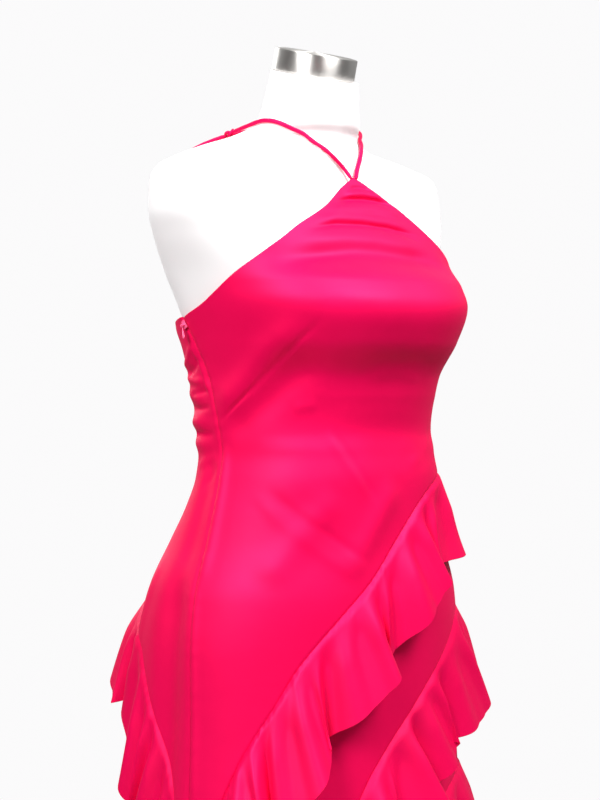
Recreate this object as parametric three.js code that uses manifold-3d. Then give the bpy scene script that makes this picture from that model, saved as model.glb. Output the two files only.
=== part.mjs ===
// High-low halter gown of satin with three slanting ruffles, worn by a limbless dress form on a stand.
// Millimetres, +Z up, the front faces -Y, and the origin is the centre of the stand's underside on the floor.
// Every cloth piece is a wall of even thickness over one figure. A point of it is given by its turn, in
// degrees round the body from centre front (0) over the wearer's right side (90) to centre back (180), and
// its height.
import * as THREE from "three";
import { mergeVertices } from "three/addons/utils/BufferGeometryUtils.js";
import Module from "manifold-3d";

// ---------------------------------------------------------------- driving dimensions
const CLOTH = 1.2; // thickness of the satin wall
const COLUMN = 7.5; // degrees between the upright lines of corners that all the panels and ruffles share
const SEAM_GAP = 0.3; // clearance between pieces that are sewn together
const EASE = 2.6; // least room between the form and the cloth's inner face
const TIER_STEP = CLOTH + 1.1; // each tier hangs this much inside the one above it
const TIER_LAP = 7; // how far a tier's top edge runs up behind the seam that it hangs from
const STRAP_RADIUS = 2.5; // sewn tube of the halter
const STAND_RADIUS = 215;
const STAND_THICKNESS = 14;
const POST_RADIUS = 16;
const FORM_BOTTOM = 742;
const CAP_RADIUS = 47;
const CAP_HEIGHT = 22;
const CAP_MIDDLE_Z = 1470; // where the neck's top plane crosses the axis
const CAP_TILT = 13; // degrees that the neck's top plane leans towards the front
const DEG = Math.PI / 180;

// Rows of numbers as objects, with the columns named once.
function table(names, rows) {
  return rows.map((row) => Object.fromEntries(names.split(" ").map((name, i) => [name, row[i]])));
}

// ---------------------------------------------------------------- the figure, in horizontal sections
// side, front and back are half widths from the section's centre, which lies "mid" behind the axis.
// square and squareBack are the exponents of the outline's two halves: 2 is an ellipse, and more is squarer.
const FORM_SECTIONS = table("z side front back square squareBack", [
  [742, 158, 98, 124, 2.2, 2.2],
  [860, 166, 104, 134, 2.2, 2.2],
  [920, 156, 106, 118, 2.2, 2.2],
  [980, 138, 106, 94, 2.2, 2.2],
  [1040, 124, 104, 86, 2.2, 2.2],
  [1085, 126, 108, 92, 2.2, 2.2],
  [1120, 131, 114, 98, 2.3, 2.3],
  [1160, 140, 130, 106, 2.3, 2.3],
  [1200, 151, 142, 110, 2.4, 2.4],
  [1232, 163, 138, 110, 2.4, 2.4],
  [1277, 185, 113, 105, 2.4, 2.4],
  [1305, 196, 98, 98, 2.4, 2.4],
  [1337, 198, 85, 88, 2.4, 2.4],
  [1352, 190, 81, 80, 2.6, 2.3],
  [1366, 160, 82, 72, 2.1, 2.2],
  [1380, 117, 88, 57, 1.55, 2.2],
  [1392, 84, 70, 50, 1.5, 2.1],
  [1404, 66, 59, 54, 1.8, 2],
  [1418, 57, 51, 58, 2, 2],
  [1436, 53, 49, 56, 2, 2],
  [1450, 51, 49, 52, 2, 2],
  [1520, 47, 48, 47, 2, 2],
]);
const GOWN_SECTIONS = table("z side front back square squareBack", [
  [30, 238, 178, 282, 2.2, 2.2],
  [300, 214, 158, 246, 2.2, 2.2],
  [500, 200, 142, 218, 2.2, 2.2],
  [640, 194, 131, 206, 2.2, 2.2],
  [740, 190, 126, 202, 2.2, 2.2],
  [820, 188, 128, 197, 2.2, 2.2],
  [880, 180, 131, 182, 2.2, 2.2],
  [940, 159, 127, 150, 2.2, 2.2],
  [980, 147, 126, 119, 2.3, 2.3],
  [1012, 138, 125, 104, 2.5, 2.4],
  [1040, 133, 121, 105, 2.5, 2.4],
  [1060, 135, 119, 110, 2.3, 2.3],
  [1085, 138, 123, 117, 2.2, 2.2],
  [1120, 141, 133, 120, 2.3, 2.3],
  [1160, 150, 164, 117, 2.4, 2.4],
  [1200, 161, 182, 112, 2.5, 2.4],
  [1222, 167, 176, 112, 2.4, 2.4],
  [1250, 176, 148, 114, 2.3, 2.4],
  [1277, 189, 127, 110, 2.3, 2.4],
  [1298, 198, 113, 104, 2.3, 2.4],
  [1320, 200, 100, 98, 2.3, 2.4],
  [1350, 190, 85, 86, 2.3, 2.4],
]);
const MIDDLES = table("z mid", [
  [1100, 0],
  [1160, 6],
  [1200, 14],
  [1240, 22],
  [1282, 23],
  [1337, 23],
  [1352, 25],
  [1366, 31],
  [1380, 44],
  [1392, 28],
  [1404, 12],
  [1418, 3],
  [1445, -2],
  [1500, -4],
]);
const BUST = { turn: 30, z: 1198, rise: 23, width: 46 }; // the form's cups

// ---------------------------------------------------------------- cut of the gown
// The side seam starts behind the side at the zip and comes forward below the hip.
const SIDE_SEAM = table("z turn", [
  [500, 85],
  [740, 86],
  [900, 88.5],
  [1040, 91],
  [1111, 95],
  [1162, 100],
  [1191, 103],
]);
const NECKLINE = table("turn z", [
  [-90, 1187],
  [-66, 1208],
  [-50, 1240],
  [-36, 1276],
  [-29, 1297],
  [-23, 1312],
  [-13, 1328],
  [-4, 1339],
  [0, 1342],
  [4, 1338],
  [12, 1329],
  [24.5, 1307],
  [36.5, 1285],
  [43, 1267],
  [54, 1239],
  [66, 1214],
  [76.5, 1198],
  [90, 1185],
]);
const BACK_EDGE = table("turn z", [
  [0, 1172],
  [50, 1177],
  [90, 1187],
]);
// Heights of the three slanting seams, from the wearer's left side round the front to the left side again,
// where each one is level.
const TIER_SEAMS = {
  first: table("turn z", [
    [-92, 1020],
    [-90, 1020],
    [-52, 1014],
    [-36, 1003],
    [-23, 985],
    [-6, 949],
    [13, 903],
    [31, 863],
    [49, 814],
    [60, 767],
    [70, 720],
    [76, 681],
    [86, 610],
    [98, 668],
    [107, 728],
    [114, 770],
    [122, 818],
    [140, 868],
    [180, 944],
    [225, 996],
    [270, 1020],
    [272, 1020],
  ]),
  second: table("turn z", [
    [-92, 870],
    [-90, 870],
    [-58, 852],
    [-50, 830],
    [-37, 799],
    [-15, 751],
    [0, 721],
    [15, 686],
    [28, 640],
    [45, 566],
    [60, 494],
    [72, 440],
    [86, 398],
    [98, 402],
    [112, 428],
    [132, 484],
    [160, 562],
    [180, 622],
    [225, 762],
    [270, 870],
    [272, 870],
  ]),
  third: table("turn z", [
    [-92, 690],
    [-90, 690],
    [-52, 663],
    [-30, 628],
    [0, 558],
    [25, 486],
    [45, 412],
    [60, 354],
    [72, 312],
    [86, 268],
    [98, 240],
    [112, 214],
    [132, 190],
    [160, 184],
    [180, 212],
    [225, 420],
    [252, 620],
    [270, 690],
    [272, 690],
  ]),
};
const TIERS = Object.keys(TIER_SEAMS);

// Soft ridges (+) and troughs (-) that lie in the cloth, each along a line between two points.
const FOLDS = table("turnA zA turnB zB width height", [
  [-18, 1320, 34, 1322, 7, -1.6],
  [-42, 1290, 46, 1297, 8, -2],
  [-48, 1306, 44, 1309, 8, 2],
  [-55, 1268, 50, 1266, 12, -2.2],
  [94, 1176, 266, 1162, 13, 4.5],
  [96, 1100, 150, 1104, 8, 3],
  [94, 1072, 165, 1068, 8, 4],
  [195, 1090, 264, 1080, 8, 3.5],
  [93, 1046, 170, 1050, 8, 3],
  [180, 1058, 266, 1052, 9, 3.5],
  [30, 1000, 64, 900, 16, 3],
  [-5, 1010, 30, 900, 16, 3],
]);
// Upright flutes of the skirt: they start at "top", are "width" degrees to each side, and stand out by
// "height".
const FLUTES = table("turn top width height", [
  [20, 700, 9, 8],
  [58, 720, 9, 8],
  [98, 860, 9, 10],
  [130, 740, 10, 20],
  [160, 820, 10, 22],
  [192, 780, 11, 26],
  [224, 860, 11, 22],
  [254, 780, 10, 16],
  [286, 760, 9, 10],
  [328, 700, 9, 8],
]);

// One row for each wave of a ruffle: where its crest is on the seam, how far its edge stands out from the
// skirt, and how deep the ruffle is there, square to the seam.
const RUFFLES = {
  first: table("turn reach depth", [
    [-78, 20, 84],
    [-50, 22, 92],
    [-10, 28, 76],
    [25, 33, 88],
    [53, 36, 90],
    [71, 36, 90],
    [86, 30, 90],
    [101, 14, 86],
    [118, 14, 84],
    [139, 29, 84],
    [168, 34, 86],
    [198, 34, 86],
    [228, 32, 84],
    [256, 30, 80],
  ]),
  second: table("turn reach depth", [
    [-78, 34, 88],
    [-51, 37, 86],
    [-25, 22, 74],
    [-9, 30, 84],
    [12, 34, 92],
    [29, 36, 94],
    [44, 36, 94],
    [58, 36, 94],
    [74, 38, 94],
    [93, 36, 92],
    [112, 34, 92],
    [132, 36, 92],
    [154, 38, 92],
    [176, 38, 92],
    [200, 38, 92],
    [226, 36, 92],
    [254, 34, 90],
  ]),
  third: table("turn reach depth", [
    [-88, 36, 96],
    [-66, 38, 96],
    [-44, 38, 98],
    [-22, 38, 98],
    [0, 38, 98],
    [21, 38, 98],
    [39, 38, 98],
    [55, 38, 98],
    [72, 38, 98],
    [91, 40, 98],
    [110, 42, 98],
    [130, 42, 98],
    [150, 42, 98],
    [170, 42, 98],
    [188, 42, 98],
    [206, 40, 98],
    [224, 40, 98],
    [246, 38, 98],
  ]),
};
const RUFFLE_SEGMENTS = { first: 16, second: 18, third: 24 }; // mm of seam to a step, at most
const RUFFLE_VALLEY = 5; // how far the lowest part of a wave stands off the skirt
const RUFFLE_LEAN = 0.2; // 0 hangs straight down, and 1 stands square to the slanting seam
const RUFFLE_ROUND = 0.55; // how much wider a crest is than the valley beside it
const RUFFLE_ROLL = 16; // how far a crest rolls over towards the wearer's left at the edge
const RUFFLE_LIFT = 14; // how much higher the edge lies in a valley than on a crest

// ---------------------------------------------------------------- tables and small maths
const lerp = (a, b, t) => a + (b - a) * t;
const clamp01 = (t) => Math.min(1, Math.max(0, t));
const smooth = (t) => clamp01(t) ** 2 * (3 - 2 * clamp01(t));
const gauss = (d, width) => Math.exp(-((d / width) ** 2));

// The value of a table's column between its rows, on a curve that doesn't overshoot.
function column(table, along, name, at) {
  const last = table.length - 1;
  if (at <= table[0][along]) return table[0][name];
  if (at >= table[last][along]) return table[last][name];
  let k = 0;
  while (at > table[k + 1][along]) k++;
  const rise = (i) => (table[i + 1][name] - table[i][name]) / (table[i + 1][along] - table[i][along]);
  const slopeAt = (i) => {
    if (i === 0) return rise(0);
    if (i === last) return rise(last - 1);
    const [before, after] = [rise(i - 1), rise(i)];
    return before * after <= 0 ? 0 : (2 * before * after) / (before + after);
  };
  const span = table[k + 1][along] - table[k][along];
  const t = (at - table[k][along]) / span;
  return (
    table[k][name] * (1 + 2 * t) * (1 - t) ** 2 +
    slopeAt(k) * span * t * (1 - t) ** 2 +
    table[k + 1][name] * t * t * (3 - 2 * t) +
    slopeAt(k + 1) * span * t * t * (t - 1)
  );
}

const wrapTurn = (turn) => ((((turn + 90) % 360) + 360) % 360) - 90; // into -90 to 270
const turnGap = (a, b) => ((((a - b + 180) % 360) + 360) % 360) - 180;

// ---------------------------------------------------------------- the figure's surfaces
function sectionRadius(sections, turn, z) {
  const [s, c] = [Math.abs(Math.sin(turn * DEG)), Math.cos(turn * DEG)];
  const depth = column(sections, "z", c > 0 ? "front" : "back", z);
  const power = column(sections, "z", c > 0 ? "square" : "squareBack", z);
  return ((s / column(sections, "z", "side", z)) ** power + (Math.abs(c) / depth) ** power) ** (-1 / power);
}

function pointAt(turn, z, radius) {
  const mid = column(MIDDLES, "z", "mid", z);
  return new THREE.Vector3(-radius * Math.sin(turn * DEG), mid - radius * Math.cos(turn * DEG), z);
}

function cupRise(turn, z) {
  const across = (side) => turnGap(turn, side * BUST.turn) * 2.6;
  const bump = (side) => gauss(Math.hypot(across(side), z - BUST.z), BUST.width);
  return BUST.rise * (bump(1) + bump(-1));
}

// The form stays inside the gown's smooth surface wherever the gown covers it.
function formRadius(turn, z) {
  const own = sectionRadius(FORM_SECTIONS, turn, z) + cupRise(turn, z);
  const covered = topEdge(nominalTurn(turn, z)) + 12 - z; // how far the gown's edge, and a margin, lie above
  if (covered < 0) return own;
  const cloth = sectionRadius(GOWN_SECTIONS, turn, z) + Math.min(0, foldHeight(turn, z));
  return Math.min(own, cloth - CLOTH - EASE);
}

function foldHeight(turn, z) {
  const MM_PER_DEGREE = 2.5;
  let height = 0;
  for (const f of FOLDS) {
    const run = new THREE.Vector2(turnGap(f.turnB, f.turnA) * MM_PER_DEGREE, f.zB - f.zA);
    if (f.turnB - f.turnA > 180) run.x = (f.turnB - f.turnA) * MM_PER_DEGREE;
    const here = new THREE.Vector2(turnGap(turn, f.turnA) * MM_PER_DEGREE, z - f.zA);
    const t = here.dot(run) / run.lengthSq();
    const off = Math.abs(here.cross(run)) / run.length();
    height += f.height * gauss(off, f.width) * smooth(t * 5) * smooth((1 - t) * 5);
  }
  return height + lerpTurns(turn, (at) => fluteHeight(at, z));
}

function fluteHeight(turn, z) {
  const grown = (f) => smooth((f.top - z) / 520);
  return FLUTES.reduce((sum, f) => sum + f.height * grown(f) * gauss(turnGap(turn, f.turn), f.width), 0);
}

// The value at a turn on the straight line between its neighbouring upright lines of corners.
function lerpTurns(turn, valueAt) {
  const knot = Math.floor(wrapTurn(turn) / COLUMN) * COLUMN;
  return lerp(valueAt(knot), valueAt(knot + COLUMN), (wrapTurn(turn) - knot) / COLUMN);
}

// A nominal turn of 90 is the side seam, wherever it runs on the body at that height.
function bodyTurn(turn, z) {
  const t = wrapTurn(turn);
  const side = column(SIDE_SEAM, "z", "turn", z);
  return t <= 90 ? (t * side) / 90 : 180 + ((t - 180) * (180 - side)) / 90;
}

function nominalTurn(at, z) {
  const t = wrapTurn(at);
  const side = column(SIDE_SEAM, "z", "turn", z);
  return t <= side ? (t * 90) / side : 180 + ((t - 180) * 90) / (180 - side);
}

// A point of the gown: inset is how far it lies inside the outermost tier's outer face.
function gownPoint(turn, z, inset = 0) {
  const at = bodyTurn(turn, z);
  return pointAt(at, z, sectionRadius(GOWN_SECTIONS, at, z) + foldHeight(turn, z) - inset);
}

// A seam runs straight from one upright line of corners to the next, so that the pieces on both sides match.
const seamHeight = (tier, turn) =>
  lerpTurns(turn, (at) => column(TIER_SEAMS[tier], "turn", "z", wrapTurn(at)));
const topEdge = (turn) =>
  turn <= 90 ? column(NECKLINE, "turn", "z", turn) : column(BACK_EDGE, "turn", "z", Math.abs(turn - 180));

// ---------------------------------------------------------------- solids
// A closed wall between the surface at(u, v), which faces out, and the same surface moved in by the
// thickness. us runs round the body with the turn, and vs runs down.
function wall(at, us, vs, thickness = CLOTH) {
  const STEP = 1e-3;
  const normalAt = (u, v) => {
    const along = at(u + STEP, v).sub(at(u - STEP, v));
    const down = at(u, v + STEP).sub(at(u, v - STEP));
    return along.cross(down).normalize();
  };
  const outer = vs.map((v) => us.map((u) => at(u, v)));
  const inner = vs.map((v, j) =>
    us.map((u, i) => outer[j][i].clone().addScaledVector(normalAt(u, v), -thickness)),
  );
  const [nu, nv] = [us.length, vs.length];
  const points = [...outer.flat(), ...inner.flat()];
  const id = (side, j, i) => side * nu * nv + j * nu + i;
  const index = [];
  const quad = (a, b, c, d) => index.push(a, c, b, a, d, c);
  for (let j = 0; j + 1 < nv; j++) {
    for (let i = 0; i + 1 < nu; i++) {
      quad(id(0, j, i), id(0, j + 1, i), id(0, j + 1, i + 1), id(0, j, i + 1));
      quad(id(1, j, i), id(1, j, i + 1), id(1, j + 1, i + 1), id(1, j + 1, i));
    }
    quad(id(0, j, 0), id(1, j, 0), id(1, j + 1, 0), id(0, j + 1, 0));
    quad(id(0, j, nu - 1), id(0, j + 1, nu - 1), id(1, j + 1, nu - 1), id(1, j, nu - 1));
  }
  for (let i = 0; i + 1 < nu; i++) {
    quad(id(0, 0, i), id(0, 0, i + 1), id(1, 0, i + 1), id(1, 0, i));
    quad(id(0, nv - 1, i), id(1, nv - 1, i), id(1, nv - 1, i + 1), id(0, nv - 1, i + 1));
  }
  return solid(points, index);
}

// A closed solid through rings of points, from the lowest ring to the highest, each going round with the turn.
function loft(rings) {
  const n = rings[0].length;
  const points = rings.flat();
  const index = [];
  for (let j = 0; j + 1 < rings.length; j++) {
    for (let i = 0; i < n; i++) {
      const [a, b] = [j * n + i, j * n + ((i + 1) % n)];
      index.push(a, a + n, b + n, a, b + n, b);
    }
  }
  const cap = (ring, up) => {
    const middle = points.push(ring.reduce((sum, p) => sum.add(p), new THREE.Vector3()).divideScalar(n)) - 1;
    const start = up ? (rings.length - 1) * n : 0;
    for (let i = 0; i < n; i++) {
      const [a, b] = [start + i, start + ((i + 1) % n)];
      index.push(...(up ? [middle, b, a] : [middle, a, b]));
    }
  };
  cap(rings[0], false);
  cap(rings[rings.length - 1], true);
  return solid(points, index);
}

// A round cord along a curve: radii gives its radius at each of the evenly spaced rings. A closed one has
// no ends.
function cord(curve, radii, closed = false, sides = 8) {
  const count = radii.length;
  const frames = curve.computeFrenetFrames(closed ? count : count - 1, closed);
  const rings = radii.map((radius, j) => {
    const centre = curve.getPointAt(closed ? j / count : j / (count - 1));
    return steps(sides - 1, 0, -2 * Math.PI * (1 - 1 / sides)).map((angle) =>
      centre
        .clone()
        .addScaledVector(frames.normals[j], radius * Math.cos(angle))
        .addScaledVector(frames.binormals[j], radius * Math.sin(angle)),
    );
  });
  if (!closed) return loft(rings);
  const index = [];
  for (let j = 0; j < count; j++) {
    for (let i = 0; i < sides; i++) {
      const [a, b] = [j * sides + i, j * sides + ((i + 1) % sides)];
      const [c, d] = [((j + 1) % count) * sides + i, ((j + 1) % count) * sides + ((i + 1) % sides)];
      index.push(a, c, d, a, d, b);
    }
  }
  return solid(rings.flat(), index);
}

function solid(points, index) {
  const geometry = new THREE.BufferGeometry();
  geometry.setAttribute("position", new THREE.Float32BufferAttribute(points.flatMap((p) => p.toArray()), 3));
  geometry.setIndex(index);
  return geometry;
}

const wasm = await Module();
wasm.setup();
const { Manifold, Mesh: ManifoldMesh } = wasm;

function toManifold(geometry) {
  const bare = new THREE.BufferGeometry()
    .setIndex(geometry.index)
    .setAttribute("position", geometry.attributes.position);
  const merged = mergeVertices(bare, 1e-4);
  return new Manifold(
    new ManifoldMesh({
      numProp: 3,
      vertProperties: new Float32Array(merged.attributes.position.array),
      triVerts: new Uint32Array(merged.index.array),
    }),
  );
}

function fromManifold(made) {
  const mesh = made.getMesh();
  const geometry = new THREE.BufferGeometry();
  geometry.setAttribute("position", new THREE.BufferAttribute(new Float32Array(mesh.vertProperties), 3));
  geometry.setIndex(new THREE.BufferAttribute(new Uint32Array(mesh.triVerts), 1));
  return geometry;
}

const union = (geometries) => fromManifold(Manifold.union(geometries.map(toManifold)));
const cut = (geometry, tool) => fromManifold(toManifold(geometry).subtract(toManifold(tool)));
const box = (width, depth, height, x, y, z) => new THREE.BoxGeometry(width, depth, height).translate(x, y, z);

const steps = (count, from = 0, to = 1) =>
  Array.from({ length: count + 1 }, (_, i) => lerp(from, to, i / count));

// ---------------------------------------------------------------- materials
const satin = new THREE.MeshStandardMaterial({ color: 0xf2045f, roughness: 0.38, metalness: 0 });
const linen = new THREE.MeshStandardMaterial({ color: 0xf3f0ee, roughness: 0.85, metalness: 0 });
const steel = new THREE.MeshStandardMaterial({ color: 0xb4b0a8, roughness: 0.3, metalness: 1 });
const paint = new THREE.MeshStandardMaterial({ color: 0xe9e8e6, roughness: 0.45, metalness: 0 });
const resin = new THREE.MeshStandardMaterial({ color: 0xff5c9e, roughness: 0.3, metalness: 0 });

const object = new THREE.Group();
function add(name, geometry, material) {
  const mesh = new THREE.Mesh(geometry, material);
  mesh.name = name;
  object.add(mesh);
  return mesh;
}

// ---------------------------------------------------------------- gown panels
const FRONT = [-90, 90];
const BACK = [90, 270];
const HALF_GAP_TURN = (0.5 * SEAM_GAP) / 2.4; // degrees, where the side is about 2.4 mm a degree

// The turns of a piece's upright lines of corners, with the end ones drawn in by half a seam gap.
function columnTurns([from, to]) {
  const turns = steps((to - from) / COLUMN, from, to);
  turns[0] += HALF_GAP_TURN;
  turns[turns.length - 1] -= HALF_GAP_TURN;
  return turns;
}

// One panel between its top and bottom edges, which are heights over the nominal turn. A row power over 1
// sets its rows closer together near the top.
function panel(name, span, top, bottom, inset, rows, rowPower = 1) {
  const at = (turn, v) => gownPoint(turn, lerp(top(turn), bottom(turn), v), inset);
  add(name, wall(at, columnTurns(span), steps(rows).map((v) => v ** rowPower)), satin);
}

function makePanels() {
  const above = (tier) => (turn) => seamHeight(tier, turn) + SEAM_GAP / 2;
  const lapped = (tier) => (turn) => seamHeight(tier, turn) + TIER_LAP;
  panel("front_panel", FRONT, topEdge, above("first"), 0, 23);
  panel("back_panel", BACK, topEdge, above("first"), 0, 16);
  for (const [tier, over, inset] of [["second", "first", TIER_STEP], ["third", "second", 2 * TIER_STEP]]) {
    panel(`${tier}_tier_front`, FRONT, lapped(over), above(tier), inset, 5, 1.5);
    panel(`${tier}_tier_back`, BACK, lapped(over), above(tier), inset, 6, 1.5);
  }
}

// ---------------------------------------------------------------- ruffles
// The seam's length from the left side round to each turn, as a table, so that waves are placed along the
// seam.
function seamRun(tier, inset) {
  const rows = [];
  let length = 0;
  let last = null;
  for (let turn = -120; turn <= 300; turn += COLUMN / 3) {
    const here = gownPoint(turn, seamHeight(tier, turn), inset);
    if (last) length += here.distanceTo(last);
    rows.push({ turn, length });
    last = here;
  }
  return rows;
}

function makeRuffle(tier) {
  const inset = TIERS.indexOf(tier) * TIER_STEP;
  const run = seamRun(tier, inset);
  const lengthOf = (turn) => column(run, "turn", "length", turn);
  const turnOf = (length) => column(run, "length", "turn", length);
  const total = lengthOf(270) - lengthOf(-90);
  const waves = RUFFLES[tier].map((wave) => ({ ...wave, at: lengthOf(wave.turn) }));
  const last = waves[waves.length - 1];
  const ring = [{ ...last, at: last.at - total }, ...waves, { ...waves[0], at: waves[0].at + total }];

  // Where a length of the seam lies within its wave: phase 0 is the crest, and pi the valley.
  const waveAt = (length) => {
    let k = 0;
    while (k + 2 < ring.length && length > ring[k + 1].at) k++;
    const [from, to] = [ring[k], ring[k + 1]];
    const pitch = to.at - from.at;
    const t = (length - from.at) / pitch;
    const mix = (name) => lerp(from[name], to[name], smooth(t));
    return { phase: 2 * Math.PI * t, pitch, reach: mix("reach"), depth: mix("depth") };
  };

  // share is 0 at the seam and 1 at the free edge.
  const at = (length, share) => {
    const turn = turnOf(length);
    const z = seamHeight(tier, turn) - SEAM_GAP / 2;
    const DELTA = 12;
    const heightAt = (way) => seamHeight(tier, turnOf(length + way));
    const rise = (heightAt(DELTA) - heightAt(-DELTA)) / (2 * DELTA);
    const slope = Math.asin(Math.max(-0.9, Math.min(0.9, rise)));
    const square = new THREE.Vector2(Math.sin(slope), -Math.cos(slope));
    const plumb = new THREE.Vector2(0, RUFFLE_LEAN - 1);
    const hang = square.clone().multiplyScalar(RUFFLE_LEAN).add(plumb).normalize();
    const { phase, pitch, reach, depth } = waveAt(length);
    const crest = 0.5 + 0.5 * Math.cos(phase);
    const deep = depth - RUFFLE_LIFT * (1 - crest);
    const drop = Math.min(deep / hang.dot(square), 1.4 * deep) * share;
    const grown = Math.max(0, share) ** 1.1;
    const sway = grown * (((RUFFLE_ROUND * pitch) / (2 * Math.PI)) * Math.sin(phase) - RUFFLE_ROLL * crest);
    const round = hang.x * drop + sway * Math.cos(slope);
    const height = z + hang.y * drop + sway * Math.sin(slope);
    const out = (RUFFLE_VALLEY + (reach - RUFFLE_VALLEY) * crest) * grown;
    const radius = gownPoint(turn, height, inset).setZ(0).length();
    return gownPoint(turn + round / radius / DEG, height, inset - out);
  };
  for (const [side, span] of [["front", FRONT], ["back", BACK]]) {
    const knots = steps((span[1] - span[0]) / COLUMN, ...span).map(lengthOf);
    knots[0] += SEAM_GAP;
    knots[knots.length - 1] -= SEAM_GAP;
    const lengths = knots.slice(1).flatMap((to, i) => {
      const from = knots[i];
      return steps(Math.ceil((to - from) / RUFFLE_SEGMENTS[tier]), from, to).slice(0, -1);
    });
    add(`${tier}_ruffle_${side}`, wall(at, [...lengths, knots[knots.length - 1]], [0, 0.22, 0.58, 1]), satin);
  }
}

// ---------------------------------------------------------------- form and stand
// A turned solid from its outline of radii and heights.
const turnedSolid = (outline, sides) =>
  new THREE.LatheGeometry(outline.map(([r, h]) => new THREE.Vector2(r, h)), sides);

function makeForm() {
  const SIDES = 32;
  const levels = [
    FORM_BOTTOM, 800, 860, 915, 965, 1010, 1055, 1098, 1130, 1155, 1178, 1200, 1222, 1248, 1275, 1300,
    1320, 1338, 1352, 1363, 1371, 1378, 1384, 1389, 1394, 1399, 1404, 1410, 1418, 1434, 1452, CAP_MIDDLE_Z,
  ];
  const tilt = Math.tan(CAP_TILT * DEG);
  const rings = levels.map((z) =>
    steps(SIDES - 1, 0, 360 - 360 / SIDES).map((turn) => {
      const p = pointAt(turn, z, formRadius(turn, z));
      return p.setZ(z + p.y * tilt * smooth((z - 1395) / 60));
    }),
  );
  add("form_torso", loft(rings), linen);

  const CHAMFER = 1.5;
  const outline = [
    [0, 0],
    [CAP_RADIUS - CHAMFER, 0],
    [CAP_RADIUS, CHAMFER],
    [CAP_RADIUS, CAP_HEIGHT - CHAMFER],
    [CAP_RADIUS - CHAMFER, CAP_HEIGHT],
    [0, CAP_HEIGHT + 2],
  ];
  const cap = add("neck_cap", turnedSolid(outline, 36), steel);
  cap.rotation.x = Math.PI / 2 + CAP_TILT * DEG;
  cap.position.set(0, 0, CAP_MIDDLE_Z + SEAM_GAP);
}

function makeStand() {
  const turned = (name, outline, z, sides) => {
    const mesh = add(name, turnedSolid(outline, sides), paint);
    mesh.rotation.x = Math.PI / 2;
    mesh.position.z = z;
  };
  const BEVEL = 3;
  turned("stand_base", [[0, 0], [STAND_RADIUS, 0], [STAND_RADIUS, STAND_THICKNESS - BEVEL],
    [STAND_RADIUS - BEVEL, STAND_THICKNESS], [0, STAND_THICKNESS]], 0, 40);
  const bottom = STAND_THICKNESS + SEAM_GAP;
  turned("stand_post", [[0, 0], [POST_RADIUS, 0], [POST_RADIUS, FORM_BOTTOM - SEAM_GAP - bottom],
    [0, FORM_BOTTOM - SEAM_GAP - bottom]], bottom, 24);
}

// ---------------------------------------------------------------- halter
const formPoint = (turn, z) => pointAt(turn, z, formRadius(turn, z));

// The point that stands off the form's surface by the height, at a turn and a height above the floor.
function offForm({ turn, z, height }) {
  const STEP = 0.5;
  const along = formPoint(turn + STEP, z).sub(formPoint(turn - STEP, z));
  const down = formPoint(turn, z - STEP).sub(formPoint(turn, z + STEP));
  return formPoint(turn, z).addScaledVector(along.cross(down).normalize(), height);
}

const REST = STRAP_RADIUS + 1.1; // how high a strap's middle lies over the form
const STRAP_RIGHT = table("turn z height", [
  [2.6, 1338.8, REST + 2],
  [4.8, 1349.4, REST],
  [11, 1358.6, REST],
  [16, 1366.6, REST],
  [20.5, 1375.5, REST],
  [28, 1385.5, REST],
  [41, 1393.6, REST],
  [54, 1398.6, REST],
  [66, 1402, REST],
  [78, 1404.2, REST],
  [90, 1404.2, REST],
  [101, 1399.5, REST],
  [110.5, 1393.25, REST + 1.5],
]);
const STRAP_LEFT = table("turn z height", [
  [-2.6, 1338.8, REST + 2],
  [-7, 1347.8, REST],
  [-11, 1357, REST],
  [-18, 1369.5, REST],
  [-30, 1381.6, REST],
  [-46, 1391.5, REST],
  [-64, 1399, REST],
  [-88, 1405, REST],
  [-115, 1408, REST],
  [-148, 1408, REST],
  [-180, 1406.5, REST],
  [-208, 1403.5, REST],
  [-226, 1399, REST],
  [-240.7, 1392.9, REST + 1.5],
]);
const KNOT = {
  turn: 114,
  z: 1391.5,
  height: 5.8,
  ring: 4.1,
  swing: 1.8,
  thick: 2.3,
  tube: 0.66 * STRAP_RADIUS,
};
const TIE_RIGHT = table("turn z height", [
  [111.2, 1389.15, REST + 1.5],
  [110, 1381, REST],
  [112, 1373, REST],
  [118, 1356, REST],
  [123.5, 1330, REST],
  [127, 1300, REST],
  [129, 1262, REST],
  [130, 1226, REST],
]);
const TIE_LEFT = table("turn z height", [
  [115.2, 1388.6, REST + 1.7],
  [128, 1379, REST + 0.6],
  [137, 1362, REST],
  [142.5, 1332, REST],
  [145, 1300, REST],
  [146, 1270, REST],
  [146, 1242, REST],
]);

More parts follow.
